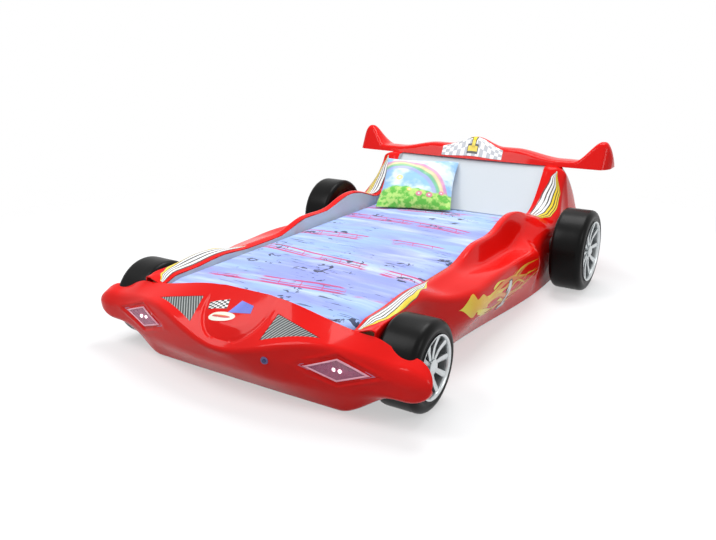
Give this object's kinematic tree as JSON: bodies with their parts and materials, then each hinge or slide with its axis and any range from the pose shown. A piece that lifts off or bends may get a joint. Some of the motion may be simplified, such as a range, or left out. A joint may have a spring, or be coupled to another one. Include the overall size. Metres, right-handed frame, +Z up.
{
  "type": "children's car bed",
  "caption": "Low children's bed shaped like a racing car: red moulded shell, wheels at the corners, rear wing, slanted headboard, mattress with sheet and a pillow.",
  "frame": {"origin": "on the floor under the middle of the overall length and width", "axes": "+X to the side with the light switch, +Y from nose to wing, +Z up"},
  "size_m": [1.4806, 2.1749, 0.6255],
  "materials": {
    "red_shell": "glossy",
    "grille_grey": "satin",
    "lens_pink": "glossy, translucent",
    "bowl_pale": "glossy",
    "lamp_board": "matte",
    "lamp_white": "glossy, clear white",
    "bezel_pale": "satin",
    "button_blue": "glossy",
    "nut_black": "matte",
    "box_black": "matte",
    "cell_jacket": "satin",
    "board_grey": "laminated, light grey",
    "board_black": "laminated, black",
    "slat_wood": "planed",
    "webbing": "woven",
    "plywood": "sanded",
    "glide_nylon": "matte",
    "screw_steel": "zinc plated",
    "tyre_black": "satin black",
    "rim_silver": "silver paint",
    "mattress_foam": "quilted cover",
    "sheet_print": "printed cotton",
    "pillow_print": "printed cotton"
  },
  "bodies": {
    "bed": {"batteries": "cell_jacket", "battery_box": "box_black", "bed_sheet": "sheet_print", "corner_blocks": "slat_wood", "floor_glides": "glide_nylon", "frame_screws": "screw_steel", "front_board": "board_grey", "front_hub_cap_left": "rim_silver", "front_hub_cap_right": "rim_silver", "front_rim_left": "rim_silver", "front_rim_right": "rim_silver", "front_tyre_left": "tyre_black", "front_tyre_right": "tyre_black", "front_wheel_mount_left": "board_black", "front_wheel_mount_right": "board_black", "grille_left": "grille_grey", "grille_right": "grille_grey", "headboard": "board_grey", "headboard_cleats": "slat_wood", "headlight_bowl_left": "bowl_pale", "headlight_bowl_right": "bowl_pale", "headlight_lens_left": "lens_pink", "headlight_lens_right": "lens_pink", "lamp_boards": "lamp_board", "lamps": "lamp_white", "mattress": "mattress_foam", "nose_formers": "plywood", "nose_shell": "red_shell", "pillow": "pillow_print", "rear_board": "board_grey", "rear_hub_cap_left": "rim_silver", "rear_hub_cap_right": "rim_silver", "rear_rim_left": "rim_silver", "rear_rim_right": "rim_silver", "rear_tyre_left": "tyre_black", "rear_tyre_right": "tyre_black", "rear_wheel_mount_left": "board_black", "rear_wheel_mount_right": "board_black", "side_board_left": "board_grey", "side_board_right": "board_grey", "side_formers_left": "plywood", "side_formers_right": "plywood", "side_shell_left": "red_shell", "side_shell_right": "red_shell", "slat_rail_left": "slat_wood", "slat_rail_right": "slat_wood", "slat_straps": "webbing", "slats": "slat_wood", "switch_bezel": "bezel_pale", "switch_nut": "nut_black", "wheel_bolts": "screw_steel", "wing_base": "board_black", "wing_screws": "screw_steel", "wing_shell": "red_shell"},
    "button": {"switch_button": "button_blue"},
    "lid": {"battery_box_lid": "box_black"}
  },
  "joints": [
    {"name": "light_switch_press", "type": "slide", "parent": "bed", "child": "button", "axis": [-0.177, 0.9822, 0.0623], "range_m": [0, 0.003], "stiffness_N_per_m": 300},
    {"name": "battery_lid_slide", "type": "slide", "parent": "bed", "child": "lid", "axis": [1, 0, 0], "range_m": [0, 0.045]}
  ]
}
